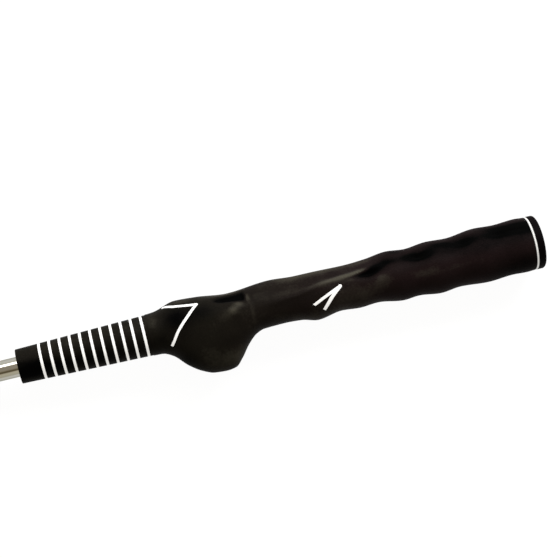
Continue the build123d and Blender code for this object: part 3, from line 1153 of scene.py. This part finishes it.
def make_floor():
    """Large pale floor under the stick, white mostly by its own light, as on a light table."""
    mesh = bpy.data.meshes.new("floor")
    half = FLOOR_HALF_SIZE
    corners = [(-half, -half, 0), (half, -half, 0), (half, half, 0), (-half, half, 0)]
    mesh.from_pydata(corners, [], [(0, 1, 2, 3)])
    floor = bpy.data.objects.new("floor", mesh)
    bpy.context.scene.collection.objects.link(floor)
    floor.location.z = FLOOR_LEVEL * MM
    nodes = Nodes("floor_paper")
    nodes.ramp(nodes.noise(scale=3), (0.05, 0.05, 0.05), (0.06, 0.06, 0.06), "Base Color")
    nodes.set(Roughness=0.9, Specular_IOR_Level=0.1, Emission_Color=(1, 1, 1, 1), Emission_Strength=0.96)
    mesh.materials.append(nodes.material)


def make_softbox(name, width, height, distance, elevation, along, power):
    """Rectangular light on the +Y side that faces the grip; sizes are in metres."""
    light = bpy.data.lights.new(name, "AREA")
    light.shape = "RECTANGLE"
    light.size, light.size_y = width, height
    light.energy = power
    lamp = bpy.data.objects.new(name, light)
    bpy.context.scene.collection.objects.link(lamp)
    rise = math.radians(elevation)
    offset = Vector((along, distance * math.cos(rise), distance * math.sin(rise)))
    lamp.location = LIGHTS_AIM_AT + offset
    lamp.rotation_euler = (-offset).to_track_quat("-Z", "Y").to_euler()
    lamp.visible_camera = False


def make_world():
    """Studio walls and ceiling as a sky whose tone depends on the angle round the shaft."""
    world = bpy.data.worlds.new("studio")
    bpy.context.scene.world = world
    world.use_nodes = True
    tree = world.node_tree
    place = tree.nodes.new("ShaderNodeTexCoord")
    split = tree.nodes.new("ShaderNodeSeparateXYZ")
    turn = tree.nodes.new("ShaderNodeMath")
    turn.operation = "ARCTAN2"
    share = tree.nodes.new("ShaderNodeMath")
    share.operation = "DIVIDE"
    share.inputs[1].default_value = math.pi
    ramp = tree.nodes.new("ShaderNodeValToRGB")
    background = tree.nodes["Background"]
    tree.links.new(place.outputs["Generated"], split.inputs[0])
    tree.links.new(split.outputs["Z"], turn.inputs[0])
    tree.links.new(split.outputs["Y"], turn.inputs[1])
    tree.links.new(turn.outputs[0], share.inputs[0])
    tree.links.new(share.outputs[0], ramp.inputs["Fac"])
    tree.links.new(ramp.outputs["Color"], background.inputs["Color"])
    tones = ramp.color_ramp.elements
    tones[0].position = 0.0
    tones[0].color = (*WALL_TONES[0][1], 1)
    tones[1].position = 1.0
    tones[1].color = (*WALL_TONES[-1][1], 1)
    for angle, tone in WALL_TONES[1:-1]:
        tones.new(angle / HALF_TURN).color = (*tone, 1)


def make_camera():
    """Camera above the grip, level with a point near its mouth and turned towards its butt."""
    yaw, tilt, roll = (math.radians(angle) for angle in (CAMERA_YAW, CAMERA_TILT, CAMERA_ROLL))
    shaft, across, up_axis = Vector((1, 0, 0)), Vector((0, 1, 0)), Vector((0, 0, 1))
    along = shaft * math.cos(yaw) + up_axis * math.sin(yaw)
    to_axis = shaft * math.sin(yaw) - up_axis * math.cos(yaw)
    up = across * math.cos(tilt) - to_axis * math.sin(tilt)
    look = across * math.sin(tilt) + to_axis * math.cos(tilt)
    camera_right = along * math.cos(roll) - up * math.sin(roll)
    camera_up = along * math.sin(roll) + up * math.cos(roll)
    data = bpy.data.cameras.new("camera")
    data.sensor_width = SENSOR_WIDTH
    data.lens = SENSOR_WIDTH / 2 / math.tan(math.radians(FIELD_OF_VIEW / 2))
    camera = bpy.data.objects.new("camera", data)
    bpy.context.scene.collection.objects.link(camera)
    turn = Matrix((camera_right, camera_up, -look)).transposed().to_4x4()
    place = Vector((CAMERA_FOOT - GRIP_LENGTH, 0, CAMERA_HEIGHT)) * MM
    camera.matrix_world = Matrix.Translation(place) @ turn
    bpy.context.scene.camera = camera


make_floor()
make_world()
make_softbox("key", width=2.6, height=0.5, distance=1.2, elevation=39, along=0.0, power=22.0)
make_softbox("butt_side", width=0.7, height=0.5, distance=1.2, elevation=43, along=1.0, power=24.0)
make_camera()
bpy.context.scene.view_settings.view_transform = "Standard"
